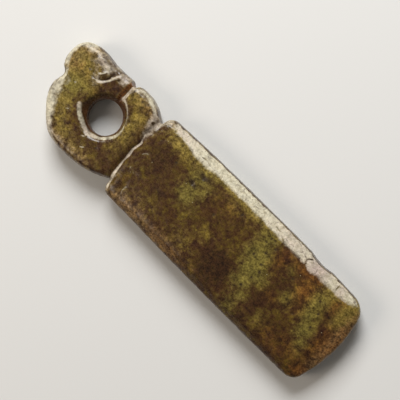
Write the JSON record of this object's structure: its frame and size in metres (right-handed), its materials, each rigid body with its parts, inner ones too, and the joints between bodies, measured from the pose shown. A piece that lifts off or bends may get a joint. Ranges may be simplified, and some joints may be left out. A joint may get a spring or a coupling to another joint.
{
  "type": "jade axe pendant",
  "caption": "Carved jade pendant in the shape of a ground axe blade, with a coiled beast at its head whose body bends round a flared cord hole.",
  "frame": {"origin": "middle of the outline, on the plane that the stone's flat back rests on", "axes": "+X along the stone towards the cutting edge, +Y across it towards the side with the snout and the tail tip, +Z out of the crowned front face and along the cord hole"},
  "size_m": [0.1166, 0.031, 0.0096],
  "materials": {
    "jade": "hand-polished olive and brown nephrite, waxy gloss, pale weathering on the worn borders"
  },
  "bodies": {
    "root": {"jade_axe_pendant": "jade"}
  },
  "joints": []
}
